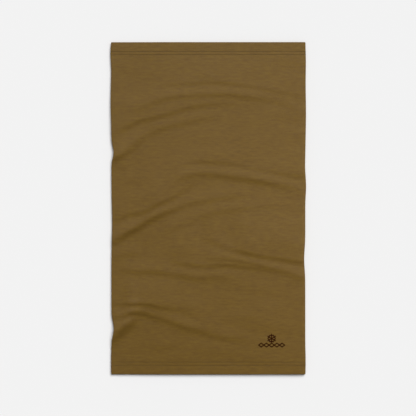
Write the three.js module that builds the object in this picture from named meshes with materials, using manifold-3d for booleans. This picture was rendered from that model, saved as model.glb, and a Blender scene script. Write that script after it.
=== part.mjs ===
// A neck gaiter lying flat: one panel of jersey wrapped into a tube, joined by an overlocked
// seam along its left side, and hemmed at both mouths with a twin-needle coverstitch.
//
// Millimetres, +Z up. The gaiter lies on z = 0 with its printed face up. X runs across the tube,
// from the side seam (-X) to the plain fold (+X), and Y runs along it, from the bottom mouth (-Y)
// to the top mouth (+Y). The origin is under the middle of the tube.
import * as THREE from "three";
import { mergeVertices } from "three/addons/utils/BufferGeometryUtils.js";
import Module from "manifold-3d";

const wasm = await Module();
wasm.setup();

// The tube.
const WIDTH = 245; // across the flat tube
const LENGTH = 420; // from mouth to mouth
const CLOTH = 0.7; // one ply of jersey
const HEIGHT = 8.4; // over both plies and the air between them
const FOLD_RADIUS = 2.55; // outside of the plain fold at the right
const SHOULDER = 22; // how far in from each side the front ply rises to its full height
const TURN_STEPS = 6; // half the number of facets round each turn of the cloth

// The side seam's allowance: both edges of the panel, turned into the tube.
const ALLOWANCE = 6;
const SEAM_TURN = 0.65; // centreline radius where each edge turns in
const PLY_GAP = 0.1; // between the two edges, face to face

// The hems: the panel's ends, turned into the mouths.
const HEM_DEPTH = 16;
const HEM_GAP = 0.15; // between the wall and the turned ply
const HEM_EDGE = 0.5; // length of the fold that joins them
const HEM_SET_BACK = 3; // how far past the seam allowance a turned ply starts
const NEEDLE_ROWS = [11.5, 15.5]; // from the mouth, a 4 mm coverstitch gauge

// Sewing thread. The stitches sink into the jersey, so they lie in grooves.
const THREAD_WIDTH = 0.5;
const THREAD_THICKNESS = 0.25;
const GROOVE_WIDTH = 0.8;
const GROOVE_DEPTH = 0.35;
const CUT_PAST = 1; // how far a cutting band stands out of the cloth
const CLEARANCE = 0.05; // between a thread, label or print and the cloth

// The care label, which hangs from the seam allowance by its left edge.
const LABEL = { length: 38, width: 30, thickness: 0.2, aboveBottom: 50, lift: 0.1, gap: 0.5 };

// The printed mark: a snowflake over a row of diamonds.
const MARK = { x: 80, y: -173, stroke: 1.25, thickness: 0.1 };
const DIAMONDS = { count: 5, width: 6.6, height: 5 };
const SNOWFLAKE = { arm: 5.8, branchAt: 3.2, branch: 2.4, branchTurn: Math.PI / 3 };

const JERSEY = new THREE.Color("#70572e");
const THREAD = new THREE.Color("#5f4823");

function material(color, roughness) {
  return new THREE.MeshStandardMaterial({ color, roughness, metalness: 0 });
}

function solidOf(geometry) {
  const bare = new THREE.BufferGeometry().setAttribute("position", geometry.getAttribute("position"));
  if (geometry.index) bare.setIndex(geometry.index);
  const merged = mergeVertices(bare);
  return new wasm.Manifold(
    new wasm.Mesh({
      numProp: 3,
      vertProperties: merged.attributes.position.array,
      triVerts: new Uint32Array(merged.index.array),
    }),
  );
}

function geometryOf(manifold) {
  const mesh = manifold.getMesh();
  return new THREE.BufferGeometry()
    .setAttribute("position", new THREE.BufferAttribute(mesh.vertProperties, 3))
    .setIndex(new THREE.BufferAttribute(mesh.triVerts, 1));
}

// Heights of the cloth's centreline at the left side, from the table up: the back ply, the back
// edge turned in over it, the front edge over that, and the front ply.
const BACK_Z = CLOTH / 2;
const BACK_EDGE_Z = BACK_Z + 2 * SEAM_TURN;
const FRONT_EDGE_Z = BACK_EDGE_Z + CLOTH + PLY_GAP;
const FRONT_LEFT_Z = FRONT_EDGE_Z + 2 * SEAM_TURN;
const FOLD_CENTRE_RADIUS = FOLD_RADIUS - CLOTH / 2;
const FRONT_TOP_Z = HEIGHT - CLOTH / 2;
const SEAM_X = -WIDTH / 2 + CLOTH / 2 + SEAM_TURN; // where the edges start to turn in
const EDGE_X = SEAM_X + ALLOWANCE; // the raw edges of the allowance
const FOLD_X = WIDTH / 2 - FOLD_RADIUS;

// The panel's centreline in the XZ plane, from the front raw edge round to the back raw edge.
// The outside of the tube is on its left.
function centreline() {
  const path = new THREE.Path();
  const turnIn = (z) => path.absarc(SEAM_X, z, SEAM_TURN, -Math.PI / 2, Math.PI / 2, true);
  const shoulder = (fromX, fromZ, toX, toZ) => {
    const middle = (fromX + toX) / 2;
    path.bezierCurveTo(middle, fromZ, middle, toZ, toX, toZ);
  };
  path.moveTo(EDGE_X, FRONT_EDGE_Z);
  path.lineTo(SEAM_X, FRONT_EDGE_Z);
  turnIn(FRONT_EDGE_Z + SEAM_TURN);
  shoulder(SEAM_X, FRONT_LEFT_Z, SEAM_X + SHOULDER, FRONT_TOP_Z);
  path.lineTo(FOLD_X - SHOULDER, FRONT_TOP_Z);
  shoulder(FOLD_X - SHOULDER, FRONT_TOP_Z, FOLD_X, BACK_Z + 2 * FOLD_CENTRE_RADIUS);
  path.absarc(FOLD_X, BACK_Z + FOLD_CENTRE_RADIUS, FOLD_CENTRE_RADIUS, Math.PI / 2, -Math.PI / 2, true);
  path.lineTo(SEAM_X, BACK_Z);
  turnIn(BACK_Z + SEAM_TURN);
  path.lineTo(EDGE_X, BACK_EDGE_Z);
  return path;
}

// Points along the centreline, each with its outward normal and its distance along the line.
function walk(path) {
  const points = path.getPoints(TURN_STEPS).filter((p, i, all) => i === 0 || p.distanceTo(all[i - 1]) > 1e-6);
  let along = 0;
  return points.map((point, i) => {
    const before = points[Math.max(i - 1, 0)];
    const after = points[Math.min(i + 1, points.length - 1)];
    const into = new THREE.Vector2().subVectors(point, before).normalize();
    const outOf = new THREE.Vector2().subVectors(after, point).normalize();
    const tangent = new THREE.Vector2().addVectors(into, outOf).normalize();
    const isEnd = before === point || after === point;
    const mitre = isEnd ? 1 : 1 / Math.cos(into.angleTo(outOf) / 2);
    if (i > 0) along += point.distanceTo(before);
    return { point, along, normal: new THREE.Vector2(-tangent.y, tangent.x).multiplyScalar(mitre) };
  });
}

const wall = walk(centreline());
const WALL_LENGTH = wall[wall.length - 1].along;

// The stretch of the wall between two distances along it.
function stretch(from, to) {
  const at = (distance) => {
    const i = Math.max(1, wall.findIndex((w) => w.along >= distance));
    const [a, b] = [wall[i - 1], wall[i]];
    const share = (distance - a.along) / (b.along - a.along);
    return { point: a.point.clone().lerp(b.point, share), normal: a.normal.clone().lerp(b.normal, share) };
  };
  return [at(from), ...wall.filter((w) => w.along > from + 0.02 && w.along < to - 0.02), at(to)];
}

// A band that follows a stretch of the wall, between two offsets from the cloth's centreline
// (outwards is positive) and two places along Y.
function band(run, inner, outer, fromY, toY) {
  const side = (offset) => run.map((w) => w.point.clone().addScaledVector(w.normal, offset));
  const outline = new THREE.Shape([...side(outer), ...side(inner).reverse()]);
  return new THREE.ExtrudeGeometry(outline, { depth: toY - fromY, bevelEnabled: false })
    .rotateX(Math.PI / 2)
    .translate(0, toY, 0);
}

// A bar along Y, from one corner of its XZ section to the other.
function bar(fromX, fromZ, toX, toZ, fromY, toY) {
  return new THREE.BoxGeometry(toX - fromX, toY - fromY, toZ - fromZ).translate(
    (fromX + toX) / 2,
    (fromY + toY) / 2,
    (fromZ + toZ) / 2,
  );
}

// Where the outside, the turned hems and the hems' inner stitching start and end along the wall.
const QUARTER_TURN = (Math.PI * SEAM_TURN) / 2;
const OUTSIDE = stretch(ALLOWANCE + QUARTER_TURN, WALL_LENGTH - ALLOWANCE - QUARTER_TURN);
const PAST_ALLOWANCE = 2 * ALLOWANCE + 2 * QUARTER_TURN + HEM_SET_BACK;
const HEM_RUN = stretch(PAST_ALLOWANCE, WALL_LENGTH - PAST_ALLOWANCE);
const LOOPER_RUN = stretch(PAST_ALLOWANCE + 1, WALL_LENGTH - PAST_ALLOWANCE - 1);
const HEM_OUTER = -CLOTH / 2 - HEM_GAP;
const HEM_INNER = HEM_OUTER - CLOTH;

// The two mouths. `at` turns a distance into the tube from the mouth into a place along Y.
const MOUTHS = [
  { name: "top_hem", at: (depth) => LENGTH / 2 - depth, rows: ["upper", "lower"] },
  { name: "bottom_hem", at: (depth) => depth - LENGTH / 2, rows: ["lower", "upper"] },
];

function between(mouth, near, far) {
  return [mouth.at(near), mouth.at(far)].sort((a, b) => a - b);
}

// One piece of cloth: the wall with its turned-in edges and both hems, grooved by the stitching.
function jerseyPanel() {
  let panel = solidOf(band(wall, -CLOTH / 2, CLOTH / 2, -LENGTH / 2, LENGTH / 2));
  for (const mouth of MOUTHS) {
    const ply = band(HEM_RUN, HEM_INNER, HEM_OUTER, ...between(mouth, 0, HEM_DEPTH));
    const edge = band(HEM_RUN, HEM_INNER + CLOTH / 2, 0, ...between(mouth, 0, HEM_EDGE));
    panel = panel.add(solidOf(ply)).add(solidOf(edge));
    for (const row of NEEDLE_ROWS) {
      const y = between(mouth, row - GROOVE_WIDTH / 2, row + GROOVE_WIDTH / 2);
      panel = panel.subtract(solidOf(band(OUTSIDE, CLOTH / 2 - GROOVE_DEPTH, CLOTH / 2 + CUT_PAST, ...y)));
    }
  }
  return geometryOf(panel);
}

// A row of needle thread round the outside of a hem.
function needleThread(mouth, row) {
  const y = between(mouth, row - THREAD_WIDTH / 2, row + THREAD_WIDTH / 2);
  return band(OUTSIDE, CLOTH / 2 - CLEARANCE - THREAD_THICKNESS, CLOTH / 2 - CLEARANCE, ...y);
}

// The looper thread, which crosses between the two rows on the inside of the hem, as one band.
function looperThread(mouth) {
  const y = between(mouth, NEEDLE_ROWS[0] - THREAD_WIDTH / 2, NEEDLE_ROWS[1] + THREAD_WIDTH / 2 - CLEARANCE);
  const outer = HEM_INNER - CLEARANCE;
  return band(LOOPER_RUN, outer - THREAD_THICKNESS, outer, ...y);
}

// The four threads of the overlock stitch along the seam allowance. The needle threads lie on its
// upper face, and the loopers cover the raw edges from above and from below.
const SEAM_THREADS = {
  innerNeedle: SEAM_X + 1.2,
  outerNeedle: SEAM_X + 3.2,
  looper: SEAM_X + 3.8,
  endGap: 1, // from the ends of the tube
};
const OVER_ALLOWANCE = FRONT_EDGE_Z + CLOTH / 2 + CLEARANCE;
const UNDER_ALLOWANCE = BACK_EDGE_Z - CLOTH / 2 - CLEARANCE;
const SEAM_ENDS = [-LENGTH / 2 + SEAM_THREADS.endGap, LENGTH / 2 - SEAM_THREADS.endGap];

function seamNeedleThread(x) {
  return bar(x - THREAD_WIDTH / 2, OVER_ALLOWANCE, x + THREAD_WIDTH / 2, OVER_ALLOWANCE + THREAD_THICKNESS, ...SEAM_ENDS);
}

// A looper's band along one face of the allowance and half way round its raw edges. `face` is the
// band's side against the cloth, and `away` is 1 above the allowance and -1 below it.
function seamLooperThread(face, away) {
  const far = face + away * THREAD_THICKNESS;
  const edge = EDGE_X + CLEARANCE;
  const middle = (BACK_EDGE_Z + FRONT_EDGE_Z) / 2 + away * CLEARANCE;
  const outline = [
    [SEAM_THREADS.looper, face],
    [edge, face],
    [edge, middle],
    [edge + THREAD_THICKNESS, middle],
    [edge + THREAD_THICKNESS, far],
    [SEAM_THREADS.looper, far],
  ].map(([x, z]) => new THREE.Vector2(x, z));
  return new THREE.ExtrudeGeometry(new THREE.Shape(outline), {
    depth: SEAM_ENDS[1] - SEAM_ENDS[0],
    bevelEnabled: false,
  })
    .rotateX(Math.PI / 2)
    .translate(0, SEAM_ENDS[1], 0);
}

function careLabel() {
  const fromX = EDGE_X + LABEL.gap;
  const fromY = -LENGTH / 2 + LABEL.aboveBottom;
  const fromZ = CLOTH + LABEL.lift;
  return bar(fromX, fromZ, fromX + LABEL.length, fromZ + LABEL.thickness, fromY, fromY + LABEL.width);
}

// A stroke of the printed mark, from one point to another.
function stroke(from, to) {
  const line = new THREE.Vector2().subVectors(to, from);
  const middle = new THREE.Vector2().addVectors(from, to).divideScalar(2);
  const box = new THREE.BoxGeometry(line.length() + MARK.stroke / 2, MARK.stroke, MARK.thickness);
  return solidOf(box.rotateZ(line.angle()).translate(middle.x, middle.y, 0));
}

function polar(from, length, angle) {
  return new THREE.Vector2(Math.cos(angle), Math.sin(angle)).multiplyScalar(length).add(from);
}

// Two zigzags that mirror each other, and so make a row of diamonds.
function diamondRow() {
  const strokes = [];
  const step = DIAMONDS.width / 2;
  for (let i = 0; i < 2 * DIAMONDS.count; i++) {
    const x = (i - DIAMONDS.count) * step;
    const [near, far] = i % 2 ? [DIAMONDS.height / 2, 0] : [0, DIAMONDS.height / 2];
    for (const side of [-1, 1]) {
      strokes.push(stroke(new THREE.Vector2(x, side * near), new THREE.Vector2(x + step, side * far)));
    }
  }
  return strokes;
}

// Six arms with a pair of branches on each. The lowest arm stands on the middle diamond.
function snowflake() {
  const strokes = [];
  const middle = new THREE.Vector2(0, DIAMONDS.height / 2 + SNOWFLAKE.arm);
  for (let arm = 0; arm < 6; arm++) {
    const turn = Math.PI / 2 + (arm * Math.PI) / 3;
    strokes.push(stroke(middle, polar(middle, SNOWFLAKE.arm, turn)));
    const joint = polar(middle, SNOWFLAKE.branchAt, turn);
    for (const side of [-1, 1]) {
      strokes.push(stroke(joint, polar(joint, SNOWFLAKE.branch, turn + side * SNOWFLAKE.branchTurn)));
    }
  }
  return strokes;
}

function printedMark() {
  const mark = wasm.Manifold.union([...diamondRow(), ...snowflake()]);
  return geometryOf(mark).translate(MARK.x, MARK.y, HEIGHT + CLEARANCE + MARK.thickness / 2);
}

const gaiter = new THREE.Group();

function place(name, geometry, surface) {
  const mesh = new THREE.Mesh(geometry, surface);
  mesh.name = name;
  gaiter.add(mesh);
}

const jersey = material(JERSEY, 0.9);
const thread = material(THREAD, 0.75);

place("jersey_panel", jerseyPanel(), jersey);
for (const mouth of MOUTHS) {
  NEEDLE_ROWS.forEach((row, i) => {
    place(`${mouth.name}_${mouth.rows[i]}_needle_thread`, needleThread(mouth, row), thread);
  });
  place(`${mouth.name}_looper_thread`, looperThread(mouth), thread);
}
place("side_seam_inner_needle_thread", seamNeedleThread(SEAM_THREADS.innerNeedle), thread);
place("side_seam_outer_needle_thread", seamNeedleThread(SEAM_THREADS.outerNeedle), thread);
place("side_seam_upper_looper_thread", seamLooperThread(OVER_ALLOWANCE, 1), thread);
place("side_seam_lower_looper_thread", seamLooperThread(UNDER_ALLOWANCE, -1), thread);
place("care_label", careLabel(), material("#e9e6df", 0.6));
place("printed_mark", printedMark(), material("#3a2015", 0.6));

export default gaiter;
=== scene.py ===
"""A neck gaiter of fine jersey lying flat on a pale floor, seen from straight above.

The cloth is built the way it is sewn: a single panel, wrapped into a tube, seamed down its left
side and hemmed at both mouths. Every point of it has a place in the panel, in millimetres: s runs
round the tube and t along it. cloth_point() says where such a point lies, and the cloth, the hem
stitches and the print are all built on it. Lengths are in millimetres until a mesh is made.
"""

import math

import bmesh
import bpy
import numpy as np
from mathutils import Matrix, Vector

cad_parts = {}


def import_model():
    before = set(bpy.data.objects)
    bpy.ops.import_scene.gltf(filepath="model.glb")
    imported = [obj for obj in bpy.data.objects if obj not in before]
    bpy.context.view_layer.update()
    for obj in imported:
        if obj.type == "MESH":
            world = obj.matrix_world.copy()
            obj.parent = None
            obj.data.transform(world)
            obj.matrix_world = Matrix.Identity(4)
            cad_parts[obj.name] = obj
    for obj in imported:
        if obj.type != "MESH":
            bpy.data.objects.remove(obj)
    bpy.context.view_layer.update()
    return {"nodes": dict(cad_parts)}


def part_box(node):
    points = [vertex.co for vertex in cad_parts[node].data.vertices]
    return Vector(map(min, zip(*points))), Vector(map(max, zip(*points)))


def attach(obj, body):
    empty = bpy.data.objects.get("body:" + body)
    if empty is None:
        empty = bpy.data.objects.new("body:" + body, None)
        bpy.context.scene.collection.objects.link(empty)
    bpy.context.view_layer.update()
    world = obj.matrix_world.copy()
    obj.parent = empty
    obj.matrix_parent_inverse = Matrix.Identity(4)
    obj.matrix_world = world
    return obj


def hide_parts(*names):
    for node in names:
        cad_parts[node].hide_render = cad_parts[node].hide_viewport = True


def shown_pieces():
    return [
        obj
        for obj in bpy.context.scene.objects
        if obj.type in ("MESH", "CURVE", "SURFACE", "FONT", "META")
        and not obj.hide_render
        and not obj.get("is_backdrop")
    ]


MM = 0.001
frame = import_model()


def box_mm(node):
    """The lowest and highest corners of a CAD node, in millimetres."""
    low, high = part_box(node)
    return np.array(low) / MM, np.array(high) / MM


def middle_mm(node):
    """The middle of a CAD node's box, in millimetres."""
    low, high = box_mm(node)
    return (low + high) / 2


# ---------------------------------------------------------------- sizes from the frame
PANEL_LOW, PANEL_HIGH = box_mm("jersey_panel")
WIDTH, LENGTH = (PANEL_HIGH - PANEL_LOW)[:2]
NEEDLE_ROWS = [  # from the mouth
    LENGTH / 2 - middle_mm(f"top_hem_{row}_needle_thread")[1] for row in ("upper", "lower")
]
SEAM_NEEDLE_X = [  # from the left side of the flat tube
    middle_mm(f"side_seam_{row}_needle_thread")[0] + WIDTH / 2 for row in ("inner", "outer")
]

# ---------------------------------------------------------------- the panel
CLOTH = 0.6  # thickness of one ply
SEAM_TURN = 1.0  # how far the cloth stands out past the start of the seam allowance
FOLD_TURN = 2.3  # the same at the plain fold
SEAM_RISE = 0.65  # about half the height between a ply and its allowance
ALLOWANCE = 6.0
HEM_TURN = 0.43  # radius of the fold at each mouth
HEM_DEPTH = 16.5
HEM_CLEARANCE = 3.0  # between the raw edges of the seam and the hem's turned ply

# Heights of the middle of the cloth's thickness.
BACK_Z = 0.32
BACK_EDGE_Z = 1.64  # the back ply's allowance, turned in over it
FRONT_EDGE_Z = 2.46  # the front ply's allowance, on top of that
SEAM_Z = 3.75  # front ply at the seam
FOLD_Z = 5.0  # front ply at the plain fold
CROWN_Z = 5.7  # front ply half way across
CROWN_SHOULDER = 75.0  # how far in from each side the front ply reaches the crown
MOUTH_DROOP = 0.9  # how much lower the crown is at the mouths
MOUTH_REACH = 80.0  # how far in from a mouth it starts to come down
SIDE_REACH = 10.0  # how far in from a side the folds and waves start to be lower
SIDE_SHARE = 0.8  # how much of their height is left at the side
HEM_STIFF = 4.0  # how far in from a mouth the folds start
HEM_SOFT = 24.0  # and over what length they rise to their full height
HEM_SHARE = 0.4  # how much of the slow waves is left at a mouth
NORMAL_STEP = 0.05  # a step round the tube, for finding which way the cloth faces

SEAM_ARC = math.pi * (SEAM_TURN + SEAM_RISE) / 2
FOLD_ARC = math.pi * FOLD_TURN
PLY = WIDTH - SEAM_TURN - FOLD_TURN

# The panel's parts from raw edge to raw edge: front allowance, turn, front ply, plain fold, back
# ply, turn, back allowance. STARTS are where each starts, and where the last one ends.
PARTS = np.array([ALLOWANCE, SEAM_ARC, PLY, FOLD_ARC, PLY, SEAM_ARC, ALLOWANCE])
STARTS = np.concatenate([[0.0], np.cumsum(PARTS)])
_, FRONT_TURN, FRONT_PLY, _, _, BACK_TURN, BACK_ALLOWANCE, PANEL_WIDTH = STARTS

# Where, round the tube, the turned ply of a hem starts and ends.
HEM_FROM = FRONT_PLY + ALLOWANCE + HEM_CLEARANCE
HEM_TO = BACK_TURN - ALLOWANCE - HEM_CLEARANCE

WALL_END = LENGTH / 2 - HEM_TURN
HEM_START = WALL_END + math.pi * HEM_TURN  # where the turned ply of a hem starts
PANEL_END = HEM_START + HEM_DEPTH - HEM_TURN
SLIVER = 1e-6  # far less than any length here, so that rounding decides nothing

# Where each side edge of the flat tube is pulled in, or pushed out where the depth is below 0: the
# place along Y, the depth and the reach.
SEAM_DENTS = [
    (196, -1.2, 10), (136, -1.0, 22), (71, 2.7, 7),
    (-18, 0.9, 22), (-152, 3.0, 8), (-196, -0.5, 12),
]
FOLD_DENTS = [
    (185, -0.7, 16), (120, -0.9, 26), (52, 0.3, 9),
    (28, -1.0, 11), (-64, 1.4, 12), (-194, -0.5, 12),
]

# The folds that the cloth has kept from being handled. Each runs across the tube, rises on the side
# of the top mouth and falls towards the bottom one. They mostly go in pairs. The points along a
# crest are (x, y, height). A kind says how far the fold reaches from its crest, first on the side
# where it rises and then on the side where it falls.
SWELL = (24.0, 12.0)
GENTLE = (26.0, 3.4)
SLOW = (20.0, 3.4)
MILD = (10.0, 3.4)
FAST = (7.0, 3.4)
BROAD = (7.0, 5.0)
STEP = (6.0, 14.0)
CRISP = (3.0, 1.8)
FOLDS = [
    # Across the top.
    (SLOW, [
        (-76, 150, 0), (-52, 158.3, 0.8), (-28, 160, 1.0), (-4, 162, 1.2), (20, 161, 1.4),
        (56, 156.2, 1.0), (92, 150, 0.8), (114, 145, 0.6), (124, 141, 0.4),
    ]),
    (FAST, [
        (-98, 121, 0), (-76, 133.8, 0.9), (-52, 142, 1.2), (-24, 144.8, 1.1), (0, 146, 1.3),
        (32, 145.7, 1.5), (56, 142.3, 1.2), (80, 138.9, 0.6), (104, 131.8, 0.5), (124, 121, 0.3),
    ]),
    # From the seam up to the middle, above the middle of the tube.
    (SLOW, [
        (-124, 96, 0.8), (-109, 103, 0.9), (-90, 112.8, 1.7), (-76, 115.7, 1.6), (-64, 118.5, 1.7),
        (-52, 121.5, 1.6), (-28, 129, 1.3), (-4, 133.5, 1.2), (10, 135, 0.7), (26, 135, 0.5),
        (42, 135, 0),
    ]),
    (FAST, [
        (-124, 63, 1.9), (-112, 68.5, 1.8), (-98, 79, 1.5), (-88, 89, 1.3), (-76, 95, 0.6),
        (-64, 102, 1.2), (-50, 105.5, 0.9), (-28, 111, 0.8), (-4, 116, 0.6), (14, 118, 0),
    ]),
    # From the middle to the plain fold.
    (SLOW, [
        (-50, 52, 0), (-30, 58.5, 0.5), (-16, 62, 0.8), (0, 61.3, 1.1), (20, 60, 1.1),
        (44, 56, 0.8), (68, 51, 0.8), (84, 48.3, 0.9), (104, 44.5, 0.8), (124, 43, 1.1),
    ]),
    (FAST, [
        (-44, 36, 0), (-28, 42.5, 1.0), (-14, 45.3, 1.0), (6, 44.7, 1.1), (24, 42.5, 1.1),
        (44, 39.8, 1.4), (64, 36.8, 1.6), (80, 34, 1.3), (96, 31, 0.8), (110, 28.5, 0.4),
        (124, 24, 0.2),
    ]),
    # From the seam up to the middle of the tube.
    (SLOW, [
        (-124, -15, 0.6), (-99, -5.3, 1.2), (-86, -3, 1.9), (-76, 1.2, 2.2), (-64, 8.2, 2.4),
        (-54, 12, 1.8), (-43, 17.5, 1.4), (-32, 25, 1.1), (-21, 34, 0.8), (-12, 41, 0.4),
        (-4, 46, 0),
    ]),
    (FAST, [
        (-124, -43, 1.9), (-111, -34.5, 2.1), (-99, -27, 2.8), (-88, -21, 2.8), (-76, -13, 2.3),
        (-64, -7.3, 2.3), (-52, -1.8, 1.6), (-40, 2.3, 1.2), (-26, 8, 0.9), (-8, 11.5, 0.7),
        (6, 13.5, 0.7), (20, 15.5, 0.6), (34, 17.5, 0.4), (52, 20, 0),
    ]),
    # Two low ones below them.
    (FAST, [
        (-66, -33, 0), (-52, -26, 0.4), (-40, -21, 0.5), (-26, -17, 0.4), (-10, -12, 0),
    ]),
    (FAST, [
        (-26, -13, 0), (-10, -8, 0.4), (10, -3, 0.5), (28, 0.5, 0.6), (50, 3, 0.6), (72, 5, 0.5),
        (96, 5, 0),
    ]),
    # From the middle down to the plain fold.
    (GENTLE, [
        (-10, -35, 0), (6, -38.5, 0.7), (18, -45, 0.7), (32, -50, 1.0), (44, -52.5, 1.9),
        (68, -58, 1.7), (92, -61.6, 1.5), (108, -64, 1.6), (124, -66, 1.2),
    ]),
    (FAST, [
        (-6, -61, 0), (8, -62, 0.5), (20, -61.7, 1.1), (32, -63.2, 1.5), (44, -65.4, 1.7),
        (56, -67.7, 1.6), (80, -74.3, 1.3), (96, -77.5, 1.0), (110, -82.5, 0.9), (124, -88, 0.6),
    ]),
    # Below the middle of the tube, with a crisp ridge beside it.
    (SLOW, [
        (-50, -64, 0), (-38, -66.5, 0.8), (-18, -69.3, 1.4), (-4, -70.3, 1.1), (8, -69.6, 1.4),
        (20, -69, 1.0), (36, -69.6, 0.4), (52, -71.5, 0),
    ]),
    (CRISP, [
        (12, -70.2, 0), (20, -70.4, 0.4), (32, -71.4, 0.6), (44, -73.2, 0.6), (56, -74.8, 0.6),
        (68, -77.2, 0),
    ]),
    # From the seam, nearly straight across.
    (MILD, [
        (-118, -76, 0), (-99, -77, 0.7), (-86, -77.8, 0.9), (-74, -77.6, 1.1), (-58, -79, 1.0),
        (-42, -81.7, 0.8), (-28, -83.6, 1.1), (-14, -86.2, 0.8), (4, -85, 0.5), (20, -84.5, 0.4),
        (36, -84, 0),
    ]),
    # From the seam down to the middle, near the bottom, and the deep one in the corner.
    (SLOW, [
        (-124, -120, 0.6), (-110, -119, 1.1), (-98, -118.3, 3.0), (-86, -118, 2.6),
        (-74, -119.3, 2.4), (-61, -122, 1.5), (-49, -123.8, 1.0), (-37, -125, 0.4),
        (-16, -135.5, 0.4), (4, -144, 0.3), (16, -149, 0),
    ]),
    (FAST, [
        (-124, -136, 0.7), (-112, -135, 1.6), (-99, -129.6, 3.2), (-86, -129.3, 2.2),
        (-74, -132.6, 1.5), (-61, -137, 1.2), (-42, -143.3, 1.4), (-24, -149.5, 1.0),
        (-6, -154.3, 0.8), (8, -159, 0.7), (20, -161.6, 0.8), (34, -162.3, 0.6), (52, -161, 0),
    ]),
    (BROAD, [
        (-124, -163, 4.0), (-112, -152.2, 4.4), (-99, -142.8, 3.6), (-90, -137.8, 1.0),
        (-82, -135, 0),
    ]),
    # Short, faint ones.
    (FAST, [
        (-124, 52, 0.5), (-116, 52.1, 0.5), (-108, 53.5, 0.5), (-96, 54, 0),
    ]),
    (FAST, [
        (-124, -62, 0.4), (-110, -58, 0.5), (-98, -55.3, 0.6), (-84, -56, 0),
    ]),
    (FAST, [
        (-76, -172, 0), (-64, -173.4, 0.4), (-52, -172.9, 0.4), (-36, -171, 0),
    ]),
    (FAST, [
        (28, -18, 0), (44, -19.9, 0.3), (68, -22, 0.2), (80, -26, 0.3), (98, -30, 0),
    ]),
    (FAST, [
        (20, -133, 0), (40, -135, 0.3), (68, -136, 0.2), (92, -138, 0),
    ]),
    # Broad swells and a step beside the folds, and one small crease near the top.
    (SWELL, [
        (24, -34, 0), (48, -37, 0.8), (76, -40, 0.9), (104, -42, 0.9), (124, -44, 0.8),
    ]),
    (SWELL, [
        (-90, -108, 0), (-66, -112, 0.9), (-44, -117, 1.1), (-20, -126, 0.6), (0, -134, 0),
    ]),
    (STEP, [
        (-20, -85, 0), (4, -85.5, 0.3), (28, -86, 0.45), (48, -87, 0.3), (70, -89, 0),
    ]),
    (CRISP, [
        (-14, 165, 0), (-9, 168, 0.35), (-4, 170, 0.4), (2, 167, 0.35), (8, 164, 0),
    ]),
    (SWELL, [
        (-124, 120, 0.9), (-108, 124, 0.8), (-92, 130, 0),
    ]),
    (SWELL, [
        (-124, 74, 1.2), (-108, 77, 1.1), (-92, 88, 0),
    ]),
    (SWELL, [
        (-100, 12, 0), (-76, 20, 0.8), (-54, 30, 1.0), (-40, 40, 0.8), (-28, 50, 0),
    ]),
    (SWELL, [
        (-84, -53, 0), (-60, -55, 0.7), (-30, -40, 0.8), (-4, -32, 0),
    ]),
]

# Slow waves, which keep the flat stretches from being perfectly flat.
WAVE_COUNT = 14
WAVE_HEIGHT = 0.03
WAVE_LENGTHS = (22.0, 70.0)
WAVE_TURN = 0.2  # radians, the usual turn from running straight across the tube
WAVE_SEED = 7

# ---------------------------------------------------------------- sewing
STITCH = 3.0
THREAD = 0.2  # radius
LOOPER = 0.8 * THREAD  # radius of the seam's looper threads
ROW_DIP = 0.04  # how far a row of stitches pulls the cloth in
ROW_REACH = 0.8
HEM_ROW_SUNK = 0.16  # how far under the cloth's face a stitch starts and ends
HEM_ROW_RISE = 0.26  # how much higher its middle is
SEAM_ROW_SUNK = 0.1  # the same two along the seam
SEAM_ROW_RISE = 0.2
SEAM_NEEDLE_END = 1.0  # how far from a mouth the seam's needle threads start
SEAM_LOOPER_END = 2.0  # and its looper threads
LOOPER_BEND = 0.5  # over this length a looper thread starts to bend round the raw edges
HEM_LOOPER_LIFT = 0.6 * THREAD  # from the cloth's face to the middle of the thread
SEAM_LOOPER_LIFT = 0.7 * THREAD
LABEL_GAP = 0.5  # between the raw edges of the seam and the part of the label that shows
LABEL_BOW = 0.25  # how much higher the label is half way along, at the most
RIBBON = 0.16  # thickness of the label
FILM_GAP = 0.02  # between the cloth and the print
FILM_EDGE = 1.2  # longer edges of the print's mesh are halved, so that it bends with the cloth
FILM_HALVINGS = 3


def smoothstep(value):
    """0 up to a value of 0, 1 from a value of 1, and a smooth rise between them."""
    value = np.clip(value, 0, 1)
    return value * value * (3 - 2 * value)


def curve_through(points_x, points_y, x):
    """A smooth curve through the points, as its height and slope at x."""
    tangents = np.gradient(points_y, points_x)
    i = np.clip(np.searchsorted(points_x, x) - 1, 0, len(points_x) - 2)
    width = points_x[i + 1] - points_x[i]
    u = np.clip((x - points_x[i]) / width, 0, 1)
    rise = points_y[i + 1] - points_y[i]
    start, end = tangents[i] * width, tangents[i + 1] * width
    square = 3 * rise - 2 * start - end
    cube = start + end - 2 * rise
    height = points_y[i] + u * start + u**2 * square + u**3 * cube
    slope = (start + 2 * u * square + 3 * u**2 * cube) / width
    return height, slope


def bump(distance, reach):
    """1 at no distance, falling off as a bell curve does."""
    return np.exp(-((distance / reach) ** 2) / 2)


def fold_height(kind, crest, x, y):
    """One fold's height over the front ply."""
    rise, fall = kind
    crest_x, crest_y, crest_h = np.array(crest, float).T
    line, slope = curve_through(crest_x, crest_y, x)
    height, _ = curve_through(crest_x, crest_h, x)
    across = (y - line) / np.sqrt(1 + slope**2)
    inside = (x >= crest_x[0]) & (x <= crest_x[-1])
    return inside * height * bump(across, np.where(across < 0, fall, rise))


def slow_waves(x, y):
    """Waves that run nearly straight across the tube, at random."""
    random = np.random.default_rng(WAVE_SEED)
    total = np.zeros_like(x)
    for _ in range(WAVE_COUNT):
        length = random.uniform(*WAVE_LENGTHS)
        turn = random.normal(0, WAVE_TURN)
        phase = random.uniform(0, 2 * math.pi)
        along_wave = y * math.cos(turn) + x * math.sin(turn)
        total += np.sin(2 * math.pi / length * along_wave + phase)
    return total * WAVE_HEIGHT


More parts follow.
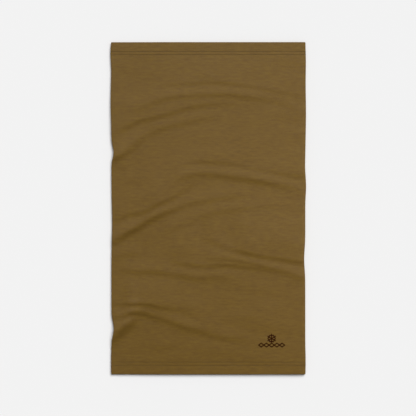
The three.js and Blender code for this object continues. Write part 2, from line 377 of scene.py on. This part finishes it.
def front_height(x, y):
    """The height of the middle of the front ply's thickness."""
    from_seam = smoothstep((x + WIDTH / 2) / CROWN_SHOULDER)
    from_fold = smoothstep((WIDTH / 2 - x) / CROWN_SHOULDER)
    mouth = 1 - smoothstep((LENGTH / 2 - np.abs(y)) / MOUTH_REACH)
    crown = (CROWN_Z - MOUTH_DROOP * mouth) * np.minimum(from_seam, from_fold)
    sides = np.where(x < 0, SEAM_Z, FOLD_Z) * (1 - np.minimum(from_seam, from_fold))
    folds = sum(fold_height(kind, crest, x, y) for kind, crest in FOLDS)
    edge = SIDE_SHARE + (1 - SIDE_SHARE) * smoothstep((WIDTH / 2 - np.abs(x)) / SIDE_REACH)
    free = smoothstep((LENGTH / 2 - np.abs(y) - HEM_STIFF) / HEM_SOFT)
    waves = slow_waves(x, y) * (HEM_SHARE + (1 - HEM_SHARE) * free)
    return crown + sides + edge * (folds * free + waves)


def pulled_in(y, dents):
    """How far a side edge is pulled in at each place along it."""
    return sum(depth * bump(y - place, reach) for place, depth, reach in dents)


def seam_x(y):
    """Where the cloth turns in at the seam."""
    return -WIDTH / 2 + SEAM_TURN + pulled_in(y, SEAM_DENTS)


def fold_x(y):
    """Where the cloth turns over at the plain fold."""
    return WIDTH / 2 - FOLD_TURN - pulled_in(y, FOLD_DENTS)


def section(s, y):
    """Where a point s round the tube lies across it: x and z."""
    part = np.clip(np.searchsorted(STARTS, s, side="right") - 1, 0, len(PARTS) - 1)
    share = (s - STARTS[part]) / PARTS[part]
    left, right = seam_x(y), fold_x(y)
    front = 2  # the front ply's number among the parts
    over = left + share * (right - left)
    front_x = np.select([part < front, part == front], [left, over], right)
    front_z = front_height(front_x, y)
    # Angles: a turn at the seam runs from its bottom to its top, and the plain fold the other way.
    turn_in = -math.pi / 2 - math.pi * share
    turn_over = math.pi / 2 - math.pi * share

    def half_turn(angle, low, high):
        """The height at an angle of a turn that reaches from low to high."""
        return (low + high) / 2 + (high - low) / 2 * np.sin(angle)

    parts = [part == i for i in range(len(PARTS))]
    x = np.select(parts, [
        left + ALLOWANCE * (1 - share),
        left + SEAM_TURN * np.cos(turn_in),
        front_x,
        right + FOLD_TURN * np.cos(turn_over),
        right - share * (right - left),
        left + SEAM_TURN * np.cos(turn_in),
        left + ALLOWANCE * share,
    ])
    flat = np.ones_like(share)
    z = np.select(parts, [
        flat * FRONT_EDGE_Z,
        half_turn(turn_in, FRONT_EDGE_Z, front_z),
        front_z,
        half_turn(turn_over, BACK_Z, front_z),
        flat * BACK_Z,
        half_turn(turn_in, BACK_Z, BACK_EDGE_Z),
        flat * BACK_EDGE_Z,
    ])
    return x, z


def along(t):
    """Where a row of the panel lies: its place along Y, and how far it is turned inside."""
    past = np.abs(t) - WALL_END
    turn = np.clip(past / HEM_TURN, 0, math.pi)
    flat = np.maximum(past - math.pi * HEM_TURN, 0)
    y = np.sign(t) * (np.minimum(np.abs(t), WALL_END) + HEM_TURN * np.sin(turn) - flat)
    return y, HEM_TURN * (1 - np.cos(turn))


def cloth_point(s, t, lift=0.0):
    """A point of the cloth, in millimetres. lift is how far it stands out of the middle of the
    ply, towards the outside of the tube."""
    s, t = np.broadcast_arrays(np.asarray(s, float), np.asarray(t, float))
    y, inset = along(t)
    x, z = section(s, y)
    ahead_x, ahead_z = section(np.minimum(s + NORMAL_STEP, PANEL_WIDTH - SLIVER), y)
    behind_x, behind_z = section(np.maximum(s - NORMAL_STEP, 0), y)
    run = np.hypot(ahead_x - behind_x, ahead_z - behind_z)
    out_x, out_z = (behind_z - ahead_z) / run, (ahead_x - behind_x) / run
    from_mouth = LENGTH / 2 - np.abs(y)
    dip = ROW_DIP * sum(bump(from_mouth - row, ROW_REACH) for row in NEEDLE_ROWS)
    turned = inset / HEM_TURN - 1  # -1 on the wall and 1 on the turned ply
    offset = lift - inset + dip * turned
    return np.stack([x + out_x * offset, y, z + out_z * offset], axis=-1)


def front_s(x, y):
    """How far round the tube a point of the front ply is."""
    return FRONT_PLY + PLY * (x - seam_x(y)) / (fold_x(y) - seam_x(y))


# ---------------------------------------------------------------- meshes
def add_piece(name, vertices, faces, places, material, body="tube"):
    """A piece of the gaiter, made of vertices in millimetres. Each vertex keeps its place, two
    numbers that the material is drawn by."""
    mesh = bpy.data.meshes.new(name)
    mesh.from_pydata((np.asarray(vertices) * MM).tolist(), [], faces)
    values = np.zeros((len(vertices), 3), np.float32)
    values[:, :2] = places
    attribute = mesh.attributes.new("place", "FLOAT_VECTOR", "POINT")
    attribute.data.foreach_set("vector", values.ravel())
    mesh.polygons.foreach_set("use_smooth", [True] * len(mesh.polygons))
    mesh.materials.append(material)
    piece = bpy.data.objects.new(name, mesh)
    bpy.context.scene.collection.objects.link(piece)
    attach(piece, body)
    return piece


def grid_faces(rows, columns, kept=lambda i, j: True):
    """The faces of a grid of vertices, given row by row, that are kept."""
    return [
        (i * columns + j, (i + 1) * columns + j, (i + 1) * columns + j + 1, i * columns + j + 1)
        for i in range(rows - 1)
        for j in range(columns - 1)
        if kept(i, j)
    ]


def stations(stretches):
    """Numbers from stretches (start, end, spacing), each starting where the one before ends."""
    found = []
    for start, end, spacing in stretches:
        count = max(1, math.ceil((end - start) / spacing))
        found.extend(np.linspace(start, end, count, endpoint=False))
    return np.array(found + [stretches[-1][1]])


def around_stations():
    """Finest round the turns, and widest apart on the back ply, which is flat."""
    spacings = [2.0, 0.3, 3.0, 0.6, 8.0, 0.3, 2.0]
    return stations(list(zip(STARTS[:-1], STARTS[1:], spacings)))


def along_stations():
    """Finest round the turns at the mouths, and fine where the rows of stitches dip."""
    plain, dipped, turned, hem = 1.6, 0.55, 0.22, 1.4
    rows_from = LENGTH / 2 - NEEDLE_ROWS[1] - 2 * ROW_REACH
    rows_to = LENGTH / 2 - NEEDLE_ROWS[0] + 2 * ROW_REACH
    half = stations([
        (0, rows_from, plain),
        (rows_from, rows_to, dipped),
        (rows_to, WALL_END, plain),
        (WALL_END, HEM_START, turned),
        (HEM_START, PANEL_END, hem),
    ])
    return np.concatenate([-half[:0:-1], half])


def jersey_panel(material):
    """The cloth: one sheet, with its corners cut out where the hems stop short of the seam."""
    s, t = around_stations(), along_stations()
    turned_share = 0.6  # how much of the turn at a mouth is left where a hem stops short
    rounded_end = WALL_END + turned_share * math.pi * HEM_TURN

    def kept(i, j):
        end = max(abs(t[j]), abs(t[j + 1]))
        if s[i] >= HEM_FROM and s[i + 1] <= HEM_TO:
            return True
        if s[i] >= FRONT_TURN - SLIVER and s[i + 1] <= BACK_ALLOWANCE + SLIVER:
            return end <= rounded_end
        return end <= WALL_END + SLIVER

    around, length = np.meshgrid(s, t, indexing="ij")
    places = np.stack([around.ravel(), length.ravel()], axis=-1)
    vertices = cloth_point(around, length).reshape(-1, 3)
    faces = grid_faces(len(s), len(t), kept)
    piece = add_piece("jersey", vertices, faces, places, material)
    loose = bmesh.new()
    loose.from_mesh(piece.data)
    bmesh.ops.delete(loose, geom=[v for v in loose.verts if not v.link_faces], context="VERTS")
    loose.to_mesh(piece.data)
    loose.free()
    ply = piece.modifiers.new("ply", "SOLIDIFY")
    ply.thickness = CLOTH * MM
    ply.offset = 0
    ply.use_even_offset = True
    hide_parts("jersey_panel")


def tube(name, centres, normals, radius, material, sides=6):
    """Thread along a line of points, with the cloth's normals to keep it from twisting."""
    centres = np.asarray(centres)
    tangents = np.gradient(centres, axis=0)
    tangents /= np.linalg.norm(tangents, axis=1, keepdims=True)
    across = np.cross(tangents, normals)
    across /= np.linalg.norm(across, axis=1, keepdims=True)
    up = np.cross(across, tangents)
    angles = np.arange(sides) * 2 * math.pi / sides
    rings = (
        centres[:, None]
        + radius * np.cos(angles)[None, :, None] * across[:, None]
        + radius * np.sin(angles)[None, :, None] * up[:, None]
    )
    count = len(centres)
    faces = []
    for start in range(0, (count - 1) * sides, sides):
        for j in range(sides):
            beside = (j + 1) % sides
            faces.append((start + j, start + beside, start + sides + beside, start + sides + j))
    faces.append(tuple(reversed(range(sides))))
    faces.append(tuple((count - 1) * sides + j for j in range(sides)))
    steps = np.linalg.norm(np.diff(centres, axis=0), axis=1)
    lengths = np.concatenate([[0], np.cumsum(steps)])
    turns = angles / (2 * math.pi)
    places = np.stack(np.meshgrid(lengths, turns, indexing="ij"), axis=-1).reshape(-1, 2)
    return add_piece(name, rings.reshape(-1, 3), faces, places, material)


def thread_on_cloth(name, s, t, lift, material, node):
    """Thread along places (s, t) of the panel, lifted off the middle of the ply."""
    centres = cloth_point(s, t, lift)
    normals = cloth_point(s, t, lift + 1) - centres
    piece = tube(name, centres, normals, THREAD, material)
    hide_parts(node)


def stitched(distance):
    """How high needle thread lies along a row, from 0 where it goes in to 1 half way along a
    stitch."""
    return np.sqrt(np.abs(np.sin(math.pi * distance / STITCH)))


def hem_threads(mouth, side, rows, material):
    """The two needle rows on the outside of a hem and the looper on its inside. side is 1 at the
    top mouth and -1 at the bottom."""
    s = np.arange(FRONT_TURN + SEAM_ARC / 2, BACK_ALLOWANCE - SEAM_ARC / 2, STITCH / 6)
    lift = CLOTH / 2 - HEM_ROW_SUNK + HEM_ROW_RISE * stitched(s)
    for row, from_mouth in zip(rows, NEEDLE_ROWS):
        t = side * (LENGTH / 2 - from_mouth)
        name = f"{mouth}_hem_{row}_needle_thread"
        thread_on_cloth(f"{name}_stitches", s, t, lift, material, name)

    margin = 1.0  # the looper stops this far inside the turned ply
    sharpness = 0.97  # 1 would make the crossings a zigzag, and less rounds its corners
    s = np.arange(HEM_FROM + margin, HEM_TO - margin, STITCH / 8)
    crossing = np.sin(2 * math.pi * s / STITCH)
    sweep = np.arcsin(sharpness * crossing) / (math.pi / 2)
    from_mouth = np.mean(NEEDLE_ROWS) + (NEEDLE_ROWS[1] - NEEDLE_ROWS[0]) / 2 * sweep
    t = side * (HEM_START + from_mouth - HEM_TURN)
    lift = -CLOTH / 2 - HEM_LOOPER_LIFT
    name = f"{mouth}_hem_looper_thread"
    thread_on_cloth(f"{name}_stitches", s, t, lift, material, name)


def seam_needle_thread(row, from_side, material):
    """A row of needle thread along the upper face of the seam allowance."""
    end = LENGTH / 2 - SEAM_NEEDLE_END
    y = np.arange(-end, end, STITCH / 6)
    x = seam_x(y) - SEAM_TURN + from_side
    z = FRONT_EDGE_Z + CLOTH / 2 - SEAM_ROW_SUNK + SEAM_ROW_RISE * stitched(y)
    upright = np.tile([0, 0, 1.0], (len(y), 1))
    name = f"side_seam_{row}_needle_thread"
    piece = tube(f"{name}_stitches", np.stack([x, y, z], -1), upright, THREAD, material)
    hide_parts(name)


def seam_looper_thread(row, face, away, material):
    """The looper thread over one face of the allowance, which hooks round the raw edges. away is
    1 for the upper face and -1 for the lower one."""
    reach_in = SEAM_NEEDLE_X[1] - SEAM_TURN
    waist = (FRONT_EDGE_Z + BACK_EDGE_Z) / 2
    outer = face + away * (CLOTH / 2 + SEAM_LOOPER_LIFT)
    between = (outer + waist) / 2
    corner = ALLOWANCE + LOOPER
    bend = corner - LOOPER_BEND
    loop = np.array([  # one stitch: how far in from the seam, the share of its length, the height
        (reach_in, 0.0, outer),
        (bend, 0.25, outer),
        (corner, 0.32, between),
        (corner, 0.5, waist + away * THREAD),
        (corner, 0.68, between),
        (bend, 0.75, outer),
    ])
    count = int((LENGTH - 2 * SEAM_LOOPER_END) / STITCH)
    places = np.concatenate([loop + (0, i, 0) for i in range(count)])
    y = -LENGTH / 2 + SEAM_LOOPER_END + places[:, 1] * STITCH
    centres = np.stack([seam_x(y) + places[:, 0], y, places[:, 2]], -1)
    aslant = np.tile([1.0, 0, away], (len(y), 1))
    name = f"side_seam_{row}_looper_thread"
    piece = tube(f"{name}_stitches", centres, aslant, LOOPER, material)
    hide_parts(name)


def seam_threads(material):
    """The overlock stitch along the seam allowance."""
    for row, from_side in zip(("inner", "outer"), SEAM_NEEDLE_X):
        seam_needle_thread(row, from_side, material)
    seam_looper_thread("upper", FRONT_EDGE_Z, 1, material)
    seam_looper_thread("lower", BACK_EDGE_Z, -1, material)


def printed_mark(material):
    """The mark, laid over the wrinkled cloth."""
    flat = bmesh.new()
    flat.from_mesh(frame["nodes"]["printed_mark"].data)
    for _ in range(FILM_HALVINGS):
        long_edges = [e for e in flat.edges if e.calc_length() > FILM_EDGE * MM]
        bmesh.ops.subdivide_edges(flat, edges=long_edges, cuts=1)
    bmesh.ops.triangulate(flat, faces=flat.faces)
    low, _ = box_mm("printed_mark")
    points = np.array([v.co for v in flat.verts]) / MM
    lift = CLOTH / 2 + FILM_GAP + points[:, 2] - low[2]
    s = front_s(points[:, 0], points[:, 1])
    vertices = cloth_point(s, points[:, 1], lift)
    flat.verts.index_update()
    faces = [tuple(v.index for v in f.verts) for f in flat.faces]
    flat.free()
    piece = add_piece("print_film", vertices, faces, points[:, :2], material)
    piece.data.polygons.foreach_set("use_smooth", [False] * len(piece.data.polygons))
    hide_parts("printed_mark")


def care_label(material):
    """A blank satin ribbon, slightly bowed, sewn in by its left edge, which follows the seam."""
    low, high = box_mm("care_label")
    count = 24  # points each way
    shares = np.linspace(0, 1, count)
    u, v = np.meshgrid(shares, shares, indexing="ij")
    y = low[1] + v * (high[1] - low[1])
    left = np.maximum(low[0], seam_x(y) + ALLOWANCE + LABEL_GAP)
    x = left + u * (high[0] - left)
    uneven = 0.6 + 0.4 * np.cos(2 * math.pi * v)  # the bow is lowest half way across
    z = (low[2] + high[2]) / 2 + LABEL_BOW * np.sin(math.pi * u) ** 2 * uneven
    vertices = np.stack([x, y, z], -1).reshape(-1, 3)
    faces = grid_faces(count, count)
    places = np.stack([x.ravel(), y.ravel()], -1)
    piece = add_piece("satin_label", vertices, faces, places, material, body="label")
    ribbon = piece.modifiers.new("ribbon", "SOLIDIFY")
    ribbon.thickness = RIBBON * MM
    ribbon.offset = 0
    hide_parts("care_label")


# ---------------------------------------------------------------- materials
JERSEY_COLOR = (0.1435, 0.0773, 0.005)
# the thread's own colour, made darker than the jersey as painted shade along the stitched rows
THREAD_COLOR_WITH_ROW_SHADE = (0.092, 0.049, 0.0025)
PRINT_COLOR = (0.027, 0.006, 0.001)
SATIN_COLOR = (0.74, 0.72, 0.67)
FLOOR_COLOR = (0.8, 0.8, 0.8, 1)
WALE = 0.62  # width of a column of knitted loops
COURSE = 0.46  # height of a row of them
LEAN = 0.7  # how much of a row's height a loop's legs lean over
TWIST = 0.4  # length of one turn of a thread's strands
RIB = math.pi / 4  # length of one rib of the satin along X
RIB_SLANT = 4.0  # how many times closer the ribs lie along Y


class Shader:
    """A material's nodes, with short ways to add to them."""

    def __init__(self, name, **settings):
        self.material = bpy.data.materials.new(name)
        self.material.use_nodes = True
        self.tree = self.material.node_tree
        self.surface = self.tree.nodes["Principled BSDF"]
        for socket, value in settings.items():
            self.surface.inputs[socket.replace("_", " ")].default_value = value

    def node(self, kind, **settings):
        """A new node, with its properties set."""
        node = self.tree.nodes.new(kind)
        for name, value in settings.items():
            setattr(node, name, value)
        return node

    def link(self, source, target):
        self.tree.links.new(source, target)

    def put(self, target, value):
        """Links a node's output to a socket, or sets the socket to a plain number."""
        if isinstance(value, bpy.types.NodeSocket):
            self.link(value, target)
        else:
            target.default_value = value

    def math(self, operation, *values):
        """The result of a sum on other outputs or plain numbers."""
        node = self.node("ShaderNodeMath", operation=operation)
        for socket, value in zip(node.inputs, values):
            self.put(socket, value)
        return node.outputs[0]

    def place(self):
        """The place that add_piece gave the vertices: two numbers."""
        attribute = self.node("ShaderNodeAttribute", attribute_name="place")
        split = self.node("ShaderNodeSeparateXYZ")
        self.link(attribute.outputs["Vector"], split.inputs[0])
        return split.outputs[0], split.outputs[1]

    def noise(self, s, t, per_s, per_t, detail=2.0, seed=0.0):
        """Noise of so many features per millimetre each way."""
        vector = self.node("ShaderNodeCombineXYZ")
        self.link(self.math("MULTIPLY", s, per_s), vector.inputs[0])
        self.link(self.math("MULTIPLY", t, per_t), vector.inputs[1])
        vector.inputs[2].default_value = seed
        noise = self.node("ShaderNodeTexNoise")
        self.link(vector.outputs[0], noise.inputs["Vector"])
        noise.inputs["Scale"].default_value = 1
        noise.inputs["Detail"].default_value = detail
        return noise.outputs["Fac"]

    def scale_between(self, value, low, high):
        """A value of 0 to 1, turned into low to high."""
        node = self.node("ShaderNodeMapRange")
        node.inputs["To Min"].default_value = low
        node.inputs["To Max"].default_value = high
        self.link(value, node.inputs["Value"])
        return node.outputs[0]

    def paint(self, color, *shades, richer=1.0):
        """The base colour, multiplied by each of the shades. Where richer is over 1, the darker the
        shade the deeper the colour: each channel takes the shade to a power of its own."""
        shade = shades[0]
        for other in shades[1:]:
            shade = self.math("MULTIPLY", shade, other)
        painted = self.node("ShaderNodeCombineColor")
        for socket, channel, power in zip(painted.inputs, color, (1.0, richer, richer**2)):
            value = self.math("POWER", shade, power) if power != 1 else shade
            self.link(self.math("MULTIPLY", value, channel), socket)
        self.link(painted.outputs[0], self.surface.inputs["Base Color"])

    def raise_by(self, height, distance, strength):
        """Shades the surface as if it rose by so many millimetres where the height is 1."""
        node = self.node("ShaderNodeBump")
        node.inputs["Distance"].default_value = distance * MM
        node.inputs["Strength"].default_value = strength
        self.link(height, node.inputs["Height"])
        self.link(node.outputs[0], self.surface.inputs["Normal"])


def knit(shader, s, t):
    """Plain knit: each loop shows two legs that lean together into a V. 0 is between the legs,
    where the jersey paints shade.
    """
    column = shader.math("FRACT", shader.math("DIVIDE", s, WALE))
    aside = shader.math("ABSOLUTE", shader.math("SUBTRACT", column, 0.5))
    from_middle = shader.math("MULTIPLY", aside, 2.0)
    leg = shader.math("SINE", shader.math("MULTIPLY", from_middle, math.pi))
    lean = shader.math("MULTIPLY", from_middle, LEAN)
    row = shader.math("ADD", shader.math("DIVIDE", t, COURSE), lean)
    loop = shader.math("SINE", shader.math("MULTIPLY", shader.math("FRACT", row), math.pi))
    return shader.math("MULTIPLY", leg, loop)


def jersey_material():
    """Knitted loops of a slightly uneven yarn, which makes streaks round the tube. Painted shade
    darkens the colour between the loops' legs, and a faint painted highlight lightens them.
    """
    shader = Shader(
        "jersey",
        Roughness=0.55,
        Sheen_Weight=0.03,
        Sheen_Roughness=0.5,
        Specular_IOR_Level=0.3,
    )
    s, t = shader.place()
    loops = knit(shader, s, t)
    streaks = shader.noise(s, t, per_s=0.04, per_t=0.2, detail=3)
    fine_streaks = shader.noise(s, t, per_s=0.11, per_t=0.4, detail=2, seed=4)
    cloudy = shader.noise(s, t, per_s=0.02, per_t=0.03, detail=2, seed=9)
    fibres = shader.noise(s, t, per_s=1.1, per_t=2.4, detail=3, seed=2)
    shader.paint(
        JERSEY_COLOR,
        # painted shade between the loops' legs and a faint painted highlight on them, from the loop
        # height the bump uses
        shader.scale_between(loops, 0.84, 1.1),
        shader.scale_between(streaks, 0.89, 1.11),
        shader.scale_between(fine_streaks, 0.76, 1.24),
        shader.scale_between(cloudy, 0.96, 1.04),
        shader.scale_between(fibres, 0.92, 1.08),
        richer=1.3,
    )
    fuzz = shader.math("MULTIPLY", fibres, 0.5)
    shader.raise_by(shader.math("ADD", loops, fuzz), distance=0.1, strength=0.5)
    return shader.material


def thread_material():
    """Sewing thread, twisted, with painted shade between its strands and a painted highlight on
    them.
    """
    shader = Shader("sewing thread", Roughness=0.6, Sheen_Weight=0.03, Specular_IOR_Level=0.35)
    length, turn = shader.place()
    twist = shader.math("FRACT", shader.math("ADD", shader.math("DIVIDE", length, TWIST), turn))
    strand = shader.math("SINE", shader.math("MULTIPLY", twist, math.pi))
    # painted shade between the twisted strands and a painted highlight on them, from the strand
    # height the bump uses
    shader.paint(THREAD_COLOR_WITH_ROW_SHADE, shader.scale_between(strand, 0.7, 1.15))
    shader.raise_by(strand, distance=0.05, strength=0.6)
    return shader.material


def print_material():
    """A matt film, through which the knit still shows."""
    shader = Shader("print film", Roughness=0.8, Specular_IOR_Level=0.02)
    x, y = shader.place()
    loops = knit(shader, x, y)
    worn = shader.noise(x, y, per_s=0.8, per_t=0.8, detail=4)
    shader.paint(PRINT_COLOR, shader.scale_between(worn, 0.8, 1.2))
    shader.raise_by(loops, distance=0.04, strength=0.4)
    return shader.material


def label_material():
    """Satin, with fine slanting ribs."""
    shader = Shader("satin", Roughness=0.42, Sheen_Weight=0.1)
    x, y = shader.place()
    across = shader.math("ADD", x, shader.math("MULTIPLY", y, RIB_SLANT))
    ribs = shader.math("SINE", shader.math("MULTIPLY", across, 2 * math.pi / RIB))
    cloudy = shader.noise(x, y, per_s=0.2, per_t=0.9, detail=3)
    shader.paint(SATIN_COLOR, shader.scale_between(cloudy, 0.94, 1.04))
    shader.raise_by(ribs, distance=0.03, strength=0.3)
    return shader.material


def floor_material():
    return Shader("floor", Roughness=0.9, Specular_IOR_Level=0.0, Base_Color=FLOOR_COLOR).material


# ---------------------------------------------------------------- studio
FRAME_ACROSS = 526.0  # how much the picture takes in each way, at the height of the crown
AIM = (-0.5, 0.35)  # the point of the gaiter under the camera
LENS = 100.0
SENSOR = 36.0
FLOOR_HALF = 6000.0
AMBIENT = 0.25  # light from all round
BACKDROP = 0.89  # how bright the surroundings look behind the floor


def camera():
    """A camera straight above, looking down."""
    data = bpy.data.cameras.new("camera")
    data.lens = LENS
    data.sensor_width = SENSOR
    view = bpy.data.objects.new("camera", data)
    bpy.context.scene.collection.objects.link(view)
    distance = FRAME_ACROSS * LENS / SENSOR
    view.location = Vector((*AIM, distance + CROWN_Z)) * MM
    bpy.context.scene.camera = view


def floor():
    """A pale floor, out to far past what any view takes in."""
    corners = FLOOR_HALF * MM * np.array([(-1, -1, 0), (1, -1, 0), (1, 1, 0), (-1, 1, 0)])
    mesh = bpy.data.meshes.new("floor")
    mesh.from_pydata(corners.tolist(), [], [(0, 1, 2, 3)])
    mesh.materials.append(floor_material())
    plane = bpy.data.objects.new("floor", mesh)
    bpy.context.scene.collection.objects.link(plane)
    plane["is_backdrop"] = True
    return plane


def light(name, kind, direction, distance, power, **settings):
    """A light in a direction from the middle of the gaiter, so many metres away, turned to it."""
    data = bpy.data.lights.new(name, kind)
    data.energy = power
    for setting, value in settings.items():
        setattr(data, setting, value)
    lamp = bpy.data.objects.new(name, data)
    towards = Vector(direction).normalized()
    lamp.location = towards * distance
    lamp.rotation_euler = (-towards).to_track_quat("-Z", "Y").to_euler()
    lamp.visible_camera = False
    bpy.context.scene.collection.objects.link(lamp)
    return lamp


def only_on(lamp, objects):
    """The lamp lights these objects and nothing else."""
    group = bpy.data.collections.new(f"lit by {lamp.name}")
    for o in objects:
        group.objects.link(o)
    lamp.light_linking.receiver_collection = group


def world():
    """Dim light from all round. The camera itself sees it as pale as the floor."""
    surroundings = bpy.data.worlds.new("world")
    surroundings.use_nodes = True
    tree = surroundings.node_tree
    tree.nodes.clear()
    seen = tree.nodes.new("ShaderNodeLightPath")
    mix = tree.nodes.new("ShaderNodeMixShader")
    tree.links.new(seen.outputs["Is Camera Ray"], mix.inputs["Fac"])
    for socket, strength in ((mix.inputs[1], AMBIENT), (mix.inputs[2], BACKDROP)):
        background = tree.nodes.new("ShaderNodeBackground")
        background.inputs["Color"].default_value = (1, 1, 1, 1)
        background.inputs["Strength"].default_value = strength
        tree.links.new(background.outputs[0], socket)
    output = tree.nodes.new("ShaderNodeOutputWorld")
    tree.links.new(mix.outputs[0], output.inputs["Surface"])
    bpy.context.scene.world = surroundings


def studio(ground, pieces):
    """The floor has a light of its own, so that it comes out evenly pale. On the gaiter the key
    light shades the folds, the gloss light gives the cloth its gloss, and two small lights lift
    the side edges."""
    world()
    bpy.context.scene.view_settings.view_transform = "Standard"
    floor_light = light(
        "floor light", "SUN", direction=(0.45, 0.7, 1.2), distance=2, power=3.30,
        angle=math.radians(40),
    )
    key = light(
        "key light", "AREA", direction=(0.15, 0.96, 0.98), distance=10, power=845.0, size=2.8,
    )
    key.visible_glossy = False
    gloss = light(
        "gloss light", "AREA", direction=(0.065, 0.418, 0.906), distance=6, power=218.0, size=1.2,
    )
    gloss.visible_diffuse = False
    right = light(
        "right light", "AREA", direction=(0.75, 0.02, 0.5), distance=0.6, power=1.05, size=0.4,
    )
    left = light(
        "left light", "AREA", direction=(-0.75, 0.05, 0.5), distance=0.9, power=0.95, size=0.5,
    )
    only_on(floor_light, [ground])
    for lamp in (key, gloss, right, left):
        only_on(lamp, pieces)


ground = floor()
camera()
jersey_panel(jersey_material())
thread = thread_material()
hem_threads("top", 1, ("upper", "lower"), thread)
hem_threads("bottom", -1, ("lower", "upper"), thread)
seam_threads(thread)
printed_mark(print_material())
care_label(label_material())
studio(ground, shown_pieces())
